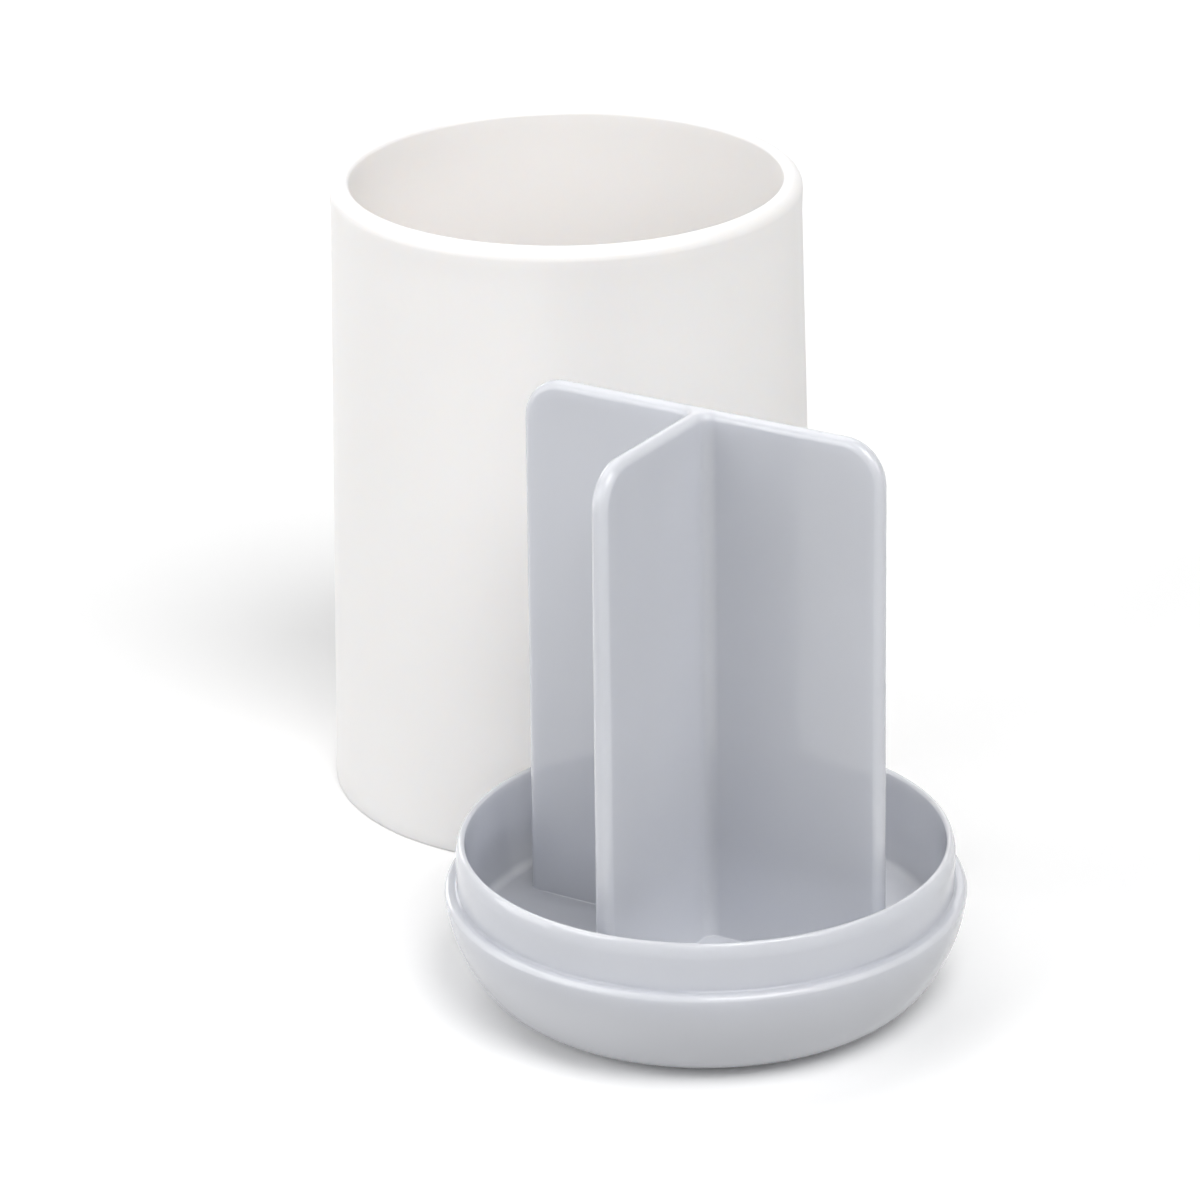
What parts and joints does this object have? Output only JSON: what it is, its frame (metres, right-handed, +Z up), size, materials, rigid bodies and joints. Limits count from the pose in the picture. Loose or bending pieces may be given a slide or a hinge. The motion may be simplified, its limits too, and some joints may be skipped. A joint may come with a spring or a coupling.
{
  "type": "toothbrush holder",
  "caption": "Free-standing toothbrush holder that comes apart: an open sleeve lifts off a dish with a three-bladed divider.",
  "frame": {"origin": "centre of the foot disc's lower face, on the dish's axis and on the surface that the holder stands on", "axes": "+Z up along the dish's axis; the two side blades of the divider lie along X, the front blade points along -Y, and the sleeve stands apart towards -X and +Y"},
  "size_m": [0.1411, 0.1399, 0.104],
  "materials": {
    "sleeve": "satin off-white moulded plastic",
    "dish": "glossy pale grey-blue moulded plastic",
    "divider": "glossy pale grey-blue moulded plastic",
    "foot_disc": "matt grey silicone rubber"
  },
  "bodies": {
    "base": {"dish": "dish", "divider": "divider", "foot_disc": "foot_disc"},
    "sleeve": {"sleeve": "sleeve"}
  },
  "joints": [
    {"name": "sleeve_lift", "type": "slide", "parent": "base", "child": "sleeve", "axis": [0, 0, 1], "range_m": [0, 0.105]}
  ]
}
